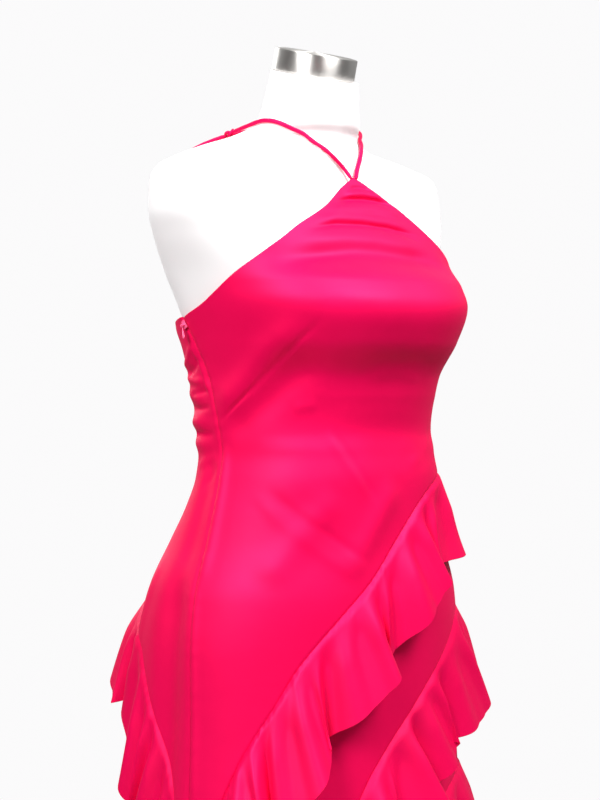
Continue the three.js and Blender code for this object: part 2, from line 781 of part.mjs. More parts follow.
function makeHalter() {
  const strap = (name, path, rings) => {
    const keys = path.map(({ turn, z, height }) => new THREE.Vector3(turn, z, height));
    const rows = new THREE.CatmullRomCurve3(keys, false, "catmullrom", 0.5);
    const along = (at) => {
      const { x: turn, y: z, z: height } = rows.getPoint(at);
      return offForm({ turn, z, height });
    };
    const curve = new THREE.CatmullRomCurve3(steps(4 * (path.length - 1)).map(along));
    const isEnd = (i) => i === 0 || i === rings - 1;
    const radii = steps(rings - 1).map((_, i) => (isEnd(i) ? 0.6 * STRAP_RADIUS : STRAP_RADIUS));
    add(name, cord(curve, radii), satin);
  };
  strap("halter_strap_right", STRAP_RIGHT, 22);
  strap("halter_strap_left", STRAP_LEFT, 32);
  strap("tie_end_right", TIE_RIGHT, 17);
  strap("tie_end_left", TIE_LEFT, 15);

  // The knot is a trefoil of the same tube that lies flat on the form.
  class Trefoil extends THREE.Curve {
    getPoint(t, target = new THREE.Vector3()) {
      const a = 2 * Math.PI * t;
      const away = KNOT.ring + KNOT.swing * Math.cos(3 * a);
      return target.set(away * Math.cos(2 * a), away * Math.sin(2 * a), KNOT.thick * Math.sin(3 * a));
    }
  }
  const RINGS = 38;
  const knot = add("halter_knot", cord(new Trefoil(), Array(RINGS).fill(KNOT.tube), true, 6), satin);
  const middle = offForm(KNOT);
  knot.position.copy(middle);
  knot.lookAt(offForm({ ...KNOT, height: KNOT.height + 10 }));
}

// ---------------------------------------------------------------- zip
const ZIP = {
  z: 1179,
  width: 5.6,
  length: 9,
  thick: 1.8,
  pin: 0.6, // radius of the pin that the tab turns on
  pinOut: 3.9, // how far the pin's middle stands off the cloth
  lug: 0.9,
  lugLength: 2.4,
  lugOver: 1.1, // how far a lug reaches past the pin's middle
  sunk: 0.1, // how far a lug's foot runs into the body
  eye: 1.6, // radius of the tab's eye
  running: 0.35, // clearance of the eye on the pin
};
const TAB = { width: 5, neck: 2.2, thick: 1, length: 15.5 };

function makeZip() {
  // The seam's frame at the slider: up along the seam, out of the cloth, and across.
  const seamPoint = (z) => gownPoint(90, z);
  const origin = seamPoint(ZIP.z);
  const up = seamPoint(ZIP.z + 4).sub(seamPoint(ZIP.z - 4)).normalize();
  const forward = gownPoint(88, ZIP.z).sub(gownPoint(92, ZIP.z));
  const out = forward.cross(up).normalize();
  if (out.x > 0) out.negate();
  const across = out.clone().cross(up);
  const place = (geometry, upward, outward) =>
    geometry.applyMatrix4(new THREE.Matrix4().makeBasis(across, outward, upward).setPosition(pin));
  const pin = origin.clone().addScaledVector(out, SEAM_GAP + ZIP.pinOut);

  // The tab hangs as low as its pin lets it.
  const down = new THREE.Vector3(0, 0, -1).projectOnPlane(across).normalize();
  const tabOut = across.clone().cross(down).normalize();

  // The slider's body lies on the cloth, and two lugs on it hold the pin.
  const bodyOut = ZIP.thick / 2 - ZIP.pinOut;
  const lugAt = ZIP.eye / 2 + ZIP.running + ZIP.lug / 2 + SEAM_GAP;
  const [lugLow, lugHigh] = [ZIP.thick - ZIP.pinOut - ZIP.sunk, ZIP.lugOver];
  const lug = (side) =>
    box(ZIP.lug, lugHigh - lugLow, ZIP.lugLength, side * lugAt, (lugLow + lugHigh) / 2, 0);
  const pinBar = new THREE.CylinderGeometry(ZIP.pin, ZIP.pin, 2 * lugAt, 16).rotateZ(Math.PI / 2);
  const slider = union([box(ZIP.width, ZIP.thick, ZIP.length, 0, bodyOut, 0), lug(1), lug(-1), pinBar]);
  add("zip_slider", place(slider, up, out), resin);

  const outline = new THREE.Shape();
  outline.moveTo(-TAB.neck / 2, 0);
  outline.lineTo(-TAB.width / 2, -TAB.length + TAB.width / 2);
  outline.absarc(0, -TAB.length + TAB.width / 2, TAB.width / 2, Math.PI, 2 * Math.PI, false);
  outline.lineTo(TAB.neck / 2, 0);
  const flat = { depth: TAB.thick, bevelEnabled: false, curveSegments: 8 };
  const plate = new THREE.ExtrudeGeometry(outline, flat);
  plate.translate(0, 0, -TAB.thick / 2).rotateX(Math.PI / 2);
  const eye = new THREE.CylinderGeometry(ZIP.eye, ZIP.eye, TAB.neck, 20).rotateZ(Math.PI / 2);
  const bore = ZIP.pin + ZIP.running;
  const hole = new THREE.CylinderGeometry(bore, bore, 3 * TAB.neck, 20).rotateZ(Math.PI / 2);
  add("zip_pull_tab", place(cut(union([plate, eye]), hole), down.negate(), tabOut), resin);
}

makePanels();
TIERS.forEach(makeRuffle);
makeForm();
makeStand();
makeHalter();
makeZip();

export default object;
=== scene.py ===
"""High-low halter gown of satin with three slanting ruffles, on a limbless dress form.

Sizes are in millimetres in the tables and the surface functions, and MM turns them into Blender's metres
as each mesh is made. A point of the figure is given by its turn, in degrees round the body from centre
front (0) over the wearer's right side (90) to centre back (180), and by its height z.
"""
import math

import bpy
import numpy as np
from mathutils import Matrix, Vector


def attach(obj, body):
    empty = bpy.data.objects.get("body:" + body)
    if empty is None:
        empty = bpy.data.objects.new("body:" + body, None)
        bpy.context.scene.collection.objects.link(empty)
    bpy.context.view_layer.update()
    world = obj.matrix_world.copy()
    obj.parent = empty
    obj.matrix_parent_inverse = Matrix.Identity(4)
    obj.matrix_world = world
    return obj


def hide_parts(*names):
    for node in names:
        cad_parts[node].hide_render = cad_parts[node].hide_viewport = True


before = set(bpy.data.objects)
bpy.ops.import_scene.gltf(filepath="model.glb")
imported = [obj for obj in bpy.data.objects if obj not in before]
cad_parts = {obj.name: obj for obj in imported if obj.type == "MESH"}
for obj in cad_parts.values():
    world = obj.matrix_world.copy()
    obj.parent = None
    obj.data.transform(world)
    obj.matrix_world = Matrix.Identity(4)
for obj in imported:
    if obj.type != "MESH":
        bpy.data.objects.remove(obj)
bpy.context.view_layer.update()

MM = 0.001
DEG = math.pi / 180
BODY = "gown_on_form"
PULL_BODY = "zip_pull"

# ------------------------------------------------------------------ driving dimensions, as in the frame
CLOTH = 1.2
SEAM_GAP = 0.3
EASE = 2.6
TIER_STEP = CLOTH + 1.1
TIER_LAP = 7
STRAP_RADIUS = 2.5
STAND_RADIUS = 215
STAND_THICKNESS = 14
POST_RADIUS = 16
FORM_BOTTOM = 742
CAP_RADIUS = 47
# The cap's own height, place and tilt, which differ a little from the frame's.
CAP_HEIGHT = 25
CAP_MIDDLE_Z = 1462
CAP_TILT = 14.5
# How far apart on the cloth two points a degree apart are taken to be.
MM_PER_DEGREE = 2.5
VIEW_AZIMUTH = 42


def table(names, rows):
    """Columns of numbers by name."""
    return dict(zip(names.split(), np.array(rows, float).T))


# ------------------------------------------------------------------ the figure, in horizontal sections
FORM_SECTIONS = table("z side front back square squareBack", [
    [742, 158, 98, 124, 2.2, 2.2],
    [860, 166, 104, 134, 2.2, 2.2],
    [920, 156, 106, 118, 2.2, 2.2],
    [980, 138, 106, 94, 2.2, 2.2],
    [1040, 124, 104, 86, 2.2, 2.2],
    [1085, 126, 108, 92, 2.2, 2.2],
    [1120, 131, 114, 98, 2.3, 2.3],
    [1160, 140, 130, 106, 2.3, 2.3],
    [1200, 151, 142, 110, 2.4, 2.4],
    [1232, 163, 138, 110, 2.4, 2.4],
    [1277, 185, 113, 105, 2.4, 2.4],
    [1305, 196, 98, 98, 2.4, 2.4],
    [1337, 198, 85, 88, 2.4, 2.4],
    [1352, 190, 81, 80, 2.6, 2.3],
    [1366, 160, 82, 72, 2.1, 2.2],
    [1380, 117, 88, 57, 1.55, 2.2],
    [1392, 84, 70, 50, 1.5, 2.1],
    [1404, 66, 59, 54, 1.8, 2],
    [1418, 57, 51, 58, 2, 2],
    [1436, 53, 49, 56, 2, 2],
    [1450, 51, 49, 52, 2, 2],
    [1520, 47, 48, 47, 2, 2],
])
GOWN_SECTIONS = table("z side front back square squareBack", [
    [30, 238, 178, 282, 2.2, 2.2],
    [300, 214, 158, 246, 2.2, 2.2],
    [500, 200, 142, 218, 2.2, 2.2],
    [640, 194, 131, 206, 2.2, 2.2],
    [740, 190, 126, 202, 2.2, 2.2],
    [820, 188, 128, 197, 2.2, 2.2],
    [880, 180, 131, 182, 2.2, 2.2],
    [940, 159, 127, 150, 2.2, 2.2],
    [980, 147, 126, 119, 2.3, 2.3],
    [1012, 138, 125, 104, 2.5, 2.4],
    [1040, 133, 121, 105, 2.5, 2.4],
    [1060, 135, 119, 110, 2.3, 2.3],
    [1085, 138, 123, 117, 2.2, 2.2],
    [1120, 141, 133, 120, 2.3, 2.3],
    [1160, 150, 164, 117, 2.4, 2.4],
    [1200, 161, 182, 112, 2.5, 2.4],
    [1222, 167, 176, 112, 2.4, 2.4],
    [1250, 176, 148, 114, 2.3, 2.4],
    [1277, 189, 127, 110, 2.3, 2.4],
    [1298, 198, 113, 104, 2.3, 2.4],
    [1320, 200, 100, 98, 2.3, 2.4],
    [1350, 190, 85, 86, 2.3, 2.4],
])
MIDDLES = table("z mid", [
    [1100, 0], [1160, 6], [1200, 14], [1240, 22], [1282, 23], [1337, 23], [1352, 25],
    [1366, 31], [1380, 44], [1392, 28], [1404, 12], [1418, 3], [1445, -2], [1500, -4],
])
BUST = {"turn": 30, "z": 1198, "rise": 23, "width": 46}

# ------------------------------------------------------------------ cut of the gown
SIDE_SEAM = table("z turn", [
    [500, 85], [740, 86], [900, 88.5], [1040, 91], [1111, 95], [1162, 100], [1191, 103],
])
NECKLINE = table("turn z", [
    [-90, 1187], [-66, 1208], [-50, 1240], [-36, 1276], [-29, 1297], [-23, 1312],
    [-13, 1328], [-4, 1339], [0, 1342], [4, 1338], [12, 1329], [24.5, 1307],
    [36.5, 1285], [43, 1267], [54, 1239], [66, 1214], [76.5, 1198], [90, 1185],
])
BACK_EDGE = table("turn z", [[0, 1172], [50, 1177], [90, 1187]])
TIER_SEAMS = {
    "first": table("turn z", [
        [-92, 1020], [-90, 1020], [-52, 1014], [-36, 1003], [-23, 985], [-6, 949], [13, 903],
        [31, 863], [49, 814], [60, 767], [70, 720], [76, 681], [86, 610], [98, 668],
        [107, 728], [114, 770], [122, 818], [140, 868], [180, 944], [225, 996], [270, 1020],
        [272, 1020],
    ]),
    "second": table("turn z", [
        [-92, 870], [-90, 870], [-58, 852], [-50, 830], [-37, 799], [-15, 751], [0, 721],
        [15, 686], [28, 640], [45, 566], [60, 494], [72, 440], [86, 398], [98, 402],
        [112, 428], [132, 484], [160, 562], [180, 622], [225, 762], [270, 870], [272, 870],
    ]),
    "third": table("turn z", [
        [-92, 690], [-90, 690], [-52, 663], [-30, 628], [0, 558], [25, 486], [45, 412],
        [60, 354], [72, 312], [86, 268], [98, 240], [112, 214], [132, 190], [160, 184],
        [180, 212], [225, 420], [252, 620], [270, 690], [272, 690],
    ]),
}
TIERS = list(TIER_SEAMS)

# Soft ridges (+) and troughs (-) in the cloth, each along a line between two points.
FOLDS = table("turnA zA turnB zB width height", [
    [-18, 1320, 34, 1322, 7, -1.6],
    [-42, 1290, 46, 1297, 8, -2],
    [-48, 1306, 44, 1309, 8, 2],
    [-55, 1268, 50, 1266, 12, -2.2],
    [94, 1176, 266, 1162, 13, 4.5],
    [96, 1100, 150, 1104, 8, 3],
    [94, 1072, 165, 1068, 8, 4],
    [195, 1090, 264, 1080, 8, 3.5],
    [93, 1046, 170, 1050, 8, 3],
    [180, 1058, 266, 1052, 9, 3.5],
    [30, 1000, 64, 900, 16, 3],
    [-5, 1010, 30, 900, 16, 3],
])
# The gown itself has finer folds over the bust than the four of the frame, and creases elsewhere.
# One row for each: its width, its rise, and its line of points (turn, z).
BUST_FOLDS = 4
CREASES = [
    (2.6, -1.8, [(6, 1328.5), (-3, 1330), (-11, 1328)]),
    (4.5, 2.2, [(12, 1321), (-3, 1325), (-18, 1321)]),
    (3.0, -3.6, [(19, 1312), (8, 1316), (-3, 1317), (-12, 1316.5), (-24, 1313)]),
    (6.0, 2.4, [(28, 1301), (12, 1305), (-4, 1307), (-28, 1301)]),
    (5.0, 2.0, [(33, 1289.5), (20, 1295), (5, 1296), (-12, 1294), (-30, 1287)]),
    (3.0, -3.8, [(34, 1280), (21.5, 1286), (6.6, 1287), (-11, 1285), (-29, 1278)]),
    (9.0, 1.6, [(40, 1266), (20, 1271), (2, 1272), (-30, 1264)]),
    (2.4, -1.5, [(-2, 1281), (-14, 1279), (-26, 1273)]),
    (12.0, -8.0, [(46, 1244), (30, 1249), (16, 1253), (4, 1253), (-10, 1250), (-34, 1248)]),
    (2.0, -1.8, [(88.8, 1069.9), (73.2, 1096), (58.3, 1122.7), (45.6, 1148.9), (35.3, 1173.8),
                 (30.2, 1190.4)]),
    (13.0, 3.8, [(91, 1082), (74, 1109), (60, 1135), (48, 1160), (38, 1186)]),
    (15.0, -3.8, [(86, 1050), (71, 1077), (56, 1103), (43, 1130), (33, 1155)]),
    (6.0, 0.9, [(50, 1086), (44, 1089.5), (38, 1091)]),
    (6.0, 1.0, [(37, 1066), (28, 1035), (14, 990)]),
    (4.0, -1.0, [(33, 1066), (24, 1035), (9, 985)]),
    (5.0, -1.1, [(64, 1005), (48, 971), (28, 940), (12, 915)]),
    (7.0, 1.0, [(70, 1000), (54, 962), (36, 928), (22, 905)]),
    (7.0, -1.2, [(20, 1132), (8, 1138), (-12, 1138), (-30, 1130)]),
    (5.0, 0.7, [(-20, 1118), (0, 1124), (18, 1120)]),
    (7.0, 0.8, [(-40, 1060), (-30, 1040), (-12, 1022)]),
    (9.0, -0.8, [(-50, 1075), (-36, 1050), (-20, 1030)]),
    (7.0, 3.0, [(87, 1055), (86.5, 1000), (86.8, 950), (88, 890)]),
    (4.0, 1.6, [(88.4, 915), (88.4, 860), (88.4, 760), (88.4, 640)]),
    (12.0, -3.0, [(98, 1050), (98, 1000), (99, 950), (100, 900)]),
    (16.0, -9.0, [(100, 935), (101, 850), (102, 760), (103, 650), (103, 580)]),
    (9.0, 2.6, [(118, 930), (124, 870), (129, 800)]),
    (2.4, 1.2, [(92.6, 1170), (94, 1150), (93.2, 1128), (92.5, 1098)]),
    (3.5, -1.8, [(91.5, 1089), (104, 1086), (122, 1088)]),
    (3.0, -2.4, [(91, 1059.5), (102, 1058), (124, 1060)]),
    (4.5, 2.4, [(92, 1157), (104, 1141), (120, 1131)]),
    (3.5, -2.2, [(91.5, 1143), (100, 1131), (112, 1124)]),
    (4.5, 2.0, [(92, 1118), (102, 1116), (122, 1121)]),
    (3.0, -1.8, [(91.5, 1107), (100, 1104), (112, 1101)]),
    (3.5, 1.4, [(92, 1034), (102, 1030), (112, 1022)]),
    (3.0, -1.2, [(92.5, 1020), (98, 1010), (104, 1000)]),
]
# Upright flutes of the skirt.
FLUTES = table("turn top width height", [
    [20, 700, 9, 8], [58, 720, 9, 8], [98, 860, 9, 10], [130, 740, 10, 20], [160, 820, 10, 22],
    [192, 780, 11, 26], [224, 860, 11, 22], [254, 780, 10, 16], [286, 760, 9, 10], [328, 700, 9, 8],
])
# One row for each wave of a ruffle: its crest's place on the seam, its reach from the skirt, and its depth.
RUFFLES = {
    "first": table("turn reach depth", [
        [-78, 20, 84], [-50, 15, 92], [-10, 22, 76], [25, 33, 88], [53, 36, 90], [71, 36, 90],
        [86, 30, 90], [101, 14, 86], [118, 14, 84], [139, 29, 84], [168, 34, 86], [198, 34, 86],
        [228, 32, 84], [256, 30, 80],
    ]),
    "second": table("turn reach depth", [
        [-78, 34, 88], [-51, 37, 86], [-25, 22, 74], [-9, 30, 84], [12, 34, 92], [29, 36, 94],
        [44, 36, 94], [58, 36, 94], [74, 38, 94], [93, 36, 92], [112, 34, 92], [132, 36, 92],
        [154, 38, 92], [176, 38, 92], [200, 38, 92], [226, 36, 92], [254, 34, 90],
    ]),
    "third": table("turn reach depth", [
        [-88, 36, 96], [-66, 38, 96], [-44, 38, 98], [-22, 38, 98], [0, 38, 98], [21, 38, 98],
        [39, 38, 98], [55, 38, 98], [72, 38, 98], [91, 40, 98], [110, 42, 98], [130, 42, 98],
        [150, 42, 98], [170, 42, 98], [188, 42, 98], [206, 40, 98], [224, 40, 98], [246, 38, 98],
    ]),
}
RUFFLE_VALLEY = 5
RUFFLE_LEAN = 0.2
RUFFLE_ROUND = 0.55
RUFFLE_ROLL = 16
RUFFLE_FOLD = 15
RUFFLE_CUSP = 0.55
RUFFLE_LIFT = 14


# ------------------------------------------------------------------ small maths
def lerp(a, b, t):
    return a + (b - a) * t


def smooth(t):
    t = np.clip(t, 0, 1)
    return t * t * (3 - 2 * t)


def gauss(d, width):
    return np.exp(-((d / width) ** 2))


def column(rows, along, name, at):
    """A table's column between its rows, on a curve that doesn't overshoot."""
    x, y = rows[along], rows[name]
    at = np.clip(at, x[0], x[-1])
    rise = np.diff(y) / np.diff(x)
    before, after = rise[:-1], rise[1:]
    level = before * after <= 0
    middle = np.where(level, 0, 2 * before * after / np.where(level, 1, before + after))
    slope = np.concatenate([rise[:1], middle, rise[-1:]])
    k = np.clip(np.searchsorted(x, at) - 1, 0, len(x) - 2)
    span = x[k + 1] - x[k]
    t = (at - x[k]) / span
    return (
        y[k] * (1 + 2 * t) * (1 - t) ** 2
        + slope[k] * span * t * (1 - t) ** 2
        + y[k + 1] * t * t * (3 - 2 * t)
        + slope[k + 1] * span * t * t * (t - 1)
    )


def wrap_turn(turn):
    return (turn + 90) % 360 - 90


def turn_gap(a, b):
    return (a - b + 180) % 360 - 180


def waviness(at, pitch, seed, layers=3):
    """An uneven wave between about -1 and 1, always the same for a seed."""
    rng = np.random.default_rng(seed)
    total = 0
    for _ in range(layers):
        length = pitch * rng.uniform(0.7, 1.5)
        total = total + np.sin(2 * math.pi * at / length + rng.uniform(0, 2 * math.pi))
    return total / layers


# ------------------------------------------------------------------ the figure's surfaces
def section_radius(sections, turn, z):
    s, c = np.abs(np.sin(turn * DEG)), np.cos(turn * DEG)
    depth = np.where(c > 0, column(sections, "z", "front", z), column(sections, "z", "back", z))
    power = np.where(c > 0, column(sections, "z", "square", z), column(sections, "z", "squareBack", z))
    side = column(sections, "z", "side", z)
    return ((s / side) ** power + (np.abs(c) / depth) ** power) ** (-1 / power)


def point_at(turn, z, radius):
    mid = column(MIDDLES, "z", "mid", z)
    return np.stack([-radius * np.sin(turn * DEG), mid - radius * np.cos(turn * DEG), z + 0 * radius], -1)


def cup_rise(turn, z):
    def bump(side):
        return gauss(np.hypot(turn_gap(turn, side * BUST["turn"]) * 2.6, z - BUST["z"]), BUST["width"])
    return BUST["rise"] * (bump(1) + bump(-1))


def body_turn(turn, z):
    """A nominal turn of 90 is the side seam, wherever it runs on the body at that height."""
    t = wrap_turn(turn)
    side = column(SIDE_SEAM, "z", "turn", z)
    return np.where(t <= 90, t * side / 90, 180 + (t - 180) * (180 - side) / 90)


def nominal_turn(at, z):
    t = wrap_turn(at)
    side = column(SIDE_SEAM, "z", "turn", z)
    return np.where(t <= side, t * 90 / side, 180 + (t - 180) * 90 / (180 - side))


def crease_height(turn, z):
    """The rise of all the creases at a point: each fades out towards its line's ends."""
    height = 0 * turn
    for width, rise, line in CREASES:
        at = np.array(line, float) * [MM_PER_DEGREE, 1]
        lengths = np.linalg.norm(np.diff(at, axis=0), axis=1)
        done = np.concatenate([[0], np.cumsum(lengths)])
        nearest, share = np.full(turn.shape, 1e9), 0 * turn
        for k, length in enumerate(lengths):
            run = (at[k + 1] - at[k]) / length
            here_x, here_z = turn_gap(turn, line[k][0]) * MM_PER_DEGREE, z - at[k][1]
            along = np.clip(here_x * run[0] + here_z * run[1], 0, length)
            away = np.hypot(here_x - along * run[0], here_z - along * run[1])
            closer = away < nearest
            nearest = np.where(closer, away, nearest)
            share = np.where(closer, (done[k] + along) / done[-1], share)
        height = height + rise * gauss(nearest, width) * smooth(share * 4.5) * smooth((1 - share) * 4.5)
    return height


def fold_height(turn, z, leave_out=0):
    height = 0
    for turn_a, z_a, turn_b, z_b, width, rise in list(zip(*FOLDS.values()))[leave_out:]:
        run_x, run_z = (turn_b - turn_a) * MM_PER_DEGREE, z_b - z_a
        here_x, here_z = turn_gap(turn, turn_a) * MM_PER_DEGREE, z - z_a
        length = math.hypot(run_x, run_z)
        t = (here_x * run_x + here_z * run_z) / length**2
        off = (here_x * run_z - here_z * run_x) / length
        height = height + rise * gauss(off, width) * smooth(t * 5) * smooth((1 - t) * 5)
    for at, top, width, rise in zip(*FLUTES.values()):
        height = height + rise * smooth((top - z) / 520) * gauss(turn_gap(turn, at), width)
    return height


def seam_height(tier, turn):
    return column(TIER_SEAMS[tier], "turn", "z", wrap_turn(turn))


def top_edge(turn):
    t = wrap_turn(turn)
    at_back = column(BACK_EDGE, "turn", "z", np.abs(t - 180))
    return np.where(t <= 90, column(NECKLINE, "turn", "z", t), at_back)


def gown_point(turn, z, inset=0.0, relief=0.0):
    """A point of the gown: inset is how far it lies inside the outermost tier's outer face."""
    at = body_turn(turn, z)
    radius = section_radius(GOWN_SECTIONS, at, z) + fold_height(turn, z, BUST_FOLDS)
    return point_at(at, z, radius + relief - inset)


def form_radius(turn, z):
    """The form stays inside the gown wherever the gown covers it, and eases back to its own shape above."""
    own = section_radius(FORM_SECTIONS, turn, z) + cup_rise(turn, z)
    nominal = nominal_turn(turn, z)
    hollow = np.minimum(0, fold_height(nominal, z)) + np.minimum(0, crease_height(nominal, z))
    inside = section_radius(GOWN_SECTIONS, turn, z) + hollow - CLOTH - EASE
    covered = smooth((top_edge(nominal) + 12 - z) / 24 + 1)
    return own - covered * np.maximum(0, own - inside)


# ------------------------------------------------------------------ meshes
def new_object(name, points, faces, material, uv=None, sharp=40):
    """A smooth-shaded mesh piece from points in millimetres."""
    mesh = bpy.data.meshes.new(name)
    mesh.from_pydata((np.asarray(points) * MM).tolist(), [], faces)
    mesh.polygons.foreach_set("use_smooth", [True] * len(mesh.polygons))
    if uv is not None:
        layer = mesh.uv_layers.new(name="cloth")
        corners = np.empty(len(mesh.loops), np.int32)
        mesh.loops.foreach_get("vertex_index", corners)
        layer.data.foreach_set("uv", (np.asarray(uv)[corners] * MM).astype(np.float32).ravel())
    mesh.validate()
    if sharp:
        mesh.set_sharp_from_angle(angle=sharp * DEG)
    mesh.materials.append(material)
    piece = bpy.data.objects.new(name, mesh)
    bpy.context.scene.collection.objects.link(piece)
    return piece


def grid_normals(points):
    """Unit normals of a grid of points whose columns run with the turn and whose rows run down."""
    along = np.gradient(points, axis=1)
    down = np.gradient(points, axis=0)
    normal = np.cross(along, down)
    return normal / np.maximum(np.linalg.norm(normal, axis=-1, keepdims=True), 1e-9)


def shell(name, outer, uv, material):
    """A sheet with two faces and a rounded rim all round."""
    rows, cols = outer.shape[:2]
    normal = grid_normals(outer)
    inner = outer - normal * CLOTH
    ring = [(0, i) for i in range(cols)] + [(j, cols - 1) for j in range(1, rows)]
    ring += [(rows - 1, i) for i in range(cols - 2, -1, -1)] + [(j, 0) for j in range(rows - 2, 0, -1)]
    rim = []
    for j, i in ring:
        inside = outer[min(max(j, 1), rows - 2), min(max(i, 1), cols - 2)]
        away = outer[j, i] - inside
        away = away / max(np.linalg.norm(away), 1e-9)
        rim.append((outer[j, i] + inner[j, i]) / 2 + away * 0.4 * CLOTH)
    points = np.concatenate([outer.reshape(-1, 3), inner.reshape(-1, 3), np.array(rim)])
    count = rows * cols
    index = np.arange(count).reshape(rows, cols)
    a, b, c, d = index[:-1, :-1], index[1:, :-1], index[1:, 1:], index[:-1, 1:]
    front = np.stack([a, d, c, b], -1).reshape(-1, 4)
    back = np.stack([a, b, c, d], -1).reshape(-1, 4) + count
    rim_faces = []
    for k, (j, i) in enumerate(ring):
        j2, i2 = ring[(k + 1) % len(ring)]
        p, q = index[j, i], index[j2, i2]
        r, s = 2 * count + k, 2 * count + (k + 1) % len(ring)
        rim_faces += [(p, r, s, q), (r, p + count, q + count, s)]
    uvs = np.concatenate([uv.reshape(-1, 2), uv.reshape(-1, 2), np.array([uv[j, i] for j, i in ring])])
    faces = front[:, ::-1].tolist() + back[:, ::-1].tolist() + rim_faces
    return new_object(name, points, faces, material, uvs, sharp=70)


def tube(name, centres, radii, material, sides=14, closed=False, flat=1.0, twist=0.0, wide=(0, 0, 0)):
    """A tube along points: flat squeezes it, twist turns that along it, and wide is its wide direction."""
    centres = np.asarray(centres, float)
    count = len(centres)
    if closed:
        tangents = np.roll(centres, -1, 0) - np.roll(centres, 1, 0)
    else:
        tangents = np.gradient(centres, axis=0)
    tangents /= np.linalg.norm(tangents, axis=1, keepdims=True)
    side = np.array(wide, float) if np.any(wide) else np.cross(tangents[0], [0.3, 0.2, 1.0])
    sides_at = []
    for t in tangents:
        side = side - t * side.dot(t)
        side /= np.linalg.norm(side)
        sides_at.append(side)
    sides_at = np.array(sides_at)
    if closed:
        last, first = sides_at[-1], sides_at[0]
        turn_back = math.atan2(np.cross(last, first).dot(tangents[0]), last.dot(first))
    points, uvs = [], []
    run = np.concatenate([[0], np.cumsum(np.linalg.norm(np.diff(centres, axis=0), axis=1))])
    for k in range(count):
        u, v = sides_at[k], np.cross(tangents[k], sides_at[k])
        shift = (turn_back * k / count if closed else 0) + twist * run[k]
        for s in range(sides):
            angle = 2 * math.pi * s / sides
            x, y = radii[k] * math.cos(angle), radii[k] * flat * math.sin(angle)
            p, q = x * math.cos(shift) - y * math.sin(shift), x * math.sin(shift) + y * math.cos(shift)
            points.append(centres[k] + u * p + v * q)
            uvs.append((s * 2 * math.pi * radii[k] / sides, run[k]))
    faces = []
    for k in range(count if closed else count - 1):
        for s in range(sides):
            a, b = k * sides + s, k * sides + (s + 1) % sides
            c, d = ((k + 1) % count) * sides + (s + 1) % sides, ((k + 1) % count) * sides + s
            faces.append((a, b, c, d))
    if not closed:
        faces.append(tuple(range(sides))[::-1])
        faces.append(tuple((count - 1) * sides + s for s in range(sides)))
    return new_object(name, points, faces, material, uvs)


def lathe(name, outline, material, sides=128, sharp=30):
    """A turned solid: outline gives radius and height from the bottom's middle to the top's middle."""
    points, faces = [], []
    ring_of = []
    for radius, height in outline:
        ring_of.append(len(points))
        if radius == 0:
            points.append((0, 0, height))
            continue
        for s in range(sides):
            angle = 2 * math.pi * s / sides
            points.append((radius * math.cos(angle), radius * math.sin(angle), height))
    for k in range(len(outline) - 1):
        low, high = ring_of[k], ring_of[k + 1]
        for s in range(sides):
            t = (s + 1) % sides
            if outline[k][0] == 0:
                faces.append((low, high + t, high + s))
            elif outline[k + 1][0] == 0:
                faces.append((low + s, low + t, high))
            else:
                faces.append((low + s, low + t, high + t, high + s))
    return new_object(name, points, faces, material, sharp=sharp)


def settle(piece, slot, *nodes, body=BODY):
    """The piece rides on its body and stands for its nodes, which are hidden; slot is not used."""
    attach(piece, body)
    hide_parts(*nodes)
    return piece


def declare_cloth(points):
    """The cut's flat size, measured along the grid of the cloth's outer face, in metres; it is worked out
    and not kept.
    """
    across = np.linalg.norm(np.diff(points, axis=1), axis=-1)
    down = np.linalg.norm(np.diff(points, axis=0), axis=-1)
    flat = (float(across.sum(1).max()) * MM, float(down.sum(0).max()) * MM)
    flat = (round(flat[0], 3), round(flat[1], 3))


# ------------------------------------------------------------------ materials
def material(name):
    made = bpy.data.materials.new(name)
    made.use_nodes = True
    nodes, links = made.node_tree.nodes, made.node_tree.links
    return made, nodes, links, nodes["Principled BSDF"]


def node(nodes, kind, **values):
    made = nodes.new(kind)
    for key, value in values.items():
        if key in made.inputs:
            made.inputs[key].default_value = value
        else:
            setattr(made, key, value)
    return made


def set_finish(shader, **values):
    """Set the shader's own sockets, which are the same all over the surface."""
    for key, value in values.items():
        shader.inputs[key.replace("_", " ")].default_value = value


def noise(nodes, links, vector, scale, detail, **more):
    made = node(nodes, "ShaderNodeTexNoise", Scale=scale, Detail=detail, **more)
    if vector is not None:
        links.new(vector, made.inputs["Vector"])
    return made.outputs["Fac"]


def stretched_noise(nodes, links, vector, scale, detail):
    """Noise drawn out along an axis, for fibres and brush lines."""
    mapping = node(nodes, "ShaderNodeMapping")
    mapping.inputs["Scale"].default_value = scale
    links.new(vector, mapping.inputs["Vector"])
    return noise(nodes, links, mapping.outputs["Vector"], 1.0, detail)


def mottle(nodes, links, shader, amount, dark, light):
    """A base colour that wanders between two tones."""
    ramp = node(nodes, "ShaderNodeValToRGB")
    ramp.color_ramp.elements[0].color = (*dark, 1)
    ramp.color_ramp.elements[1].color = (*light, 1)
    links.new(amount, ramp.inputs["Fac"])
    links.new(ramp.outputs["Color"], shader.inputs["Base Color"])
    return ramp.color_ramp


def roughen(nodes, links, shader, height, strength, distance, under=None):
    """Fine relief, over the relief of another normal if one is given."""
    bump = node(nodes, "ShaderNodeBump", Strength=strength, Distance=distance)
    links.new(height, bump.inputs["Height"])
    if under is not None:
        links.new(under, bump.inputs["Normal"])
    links.new(bump.outputs["Normal"], shader.inputs["Normal"])
    return bump.outputs["Normal"]


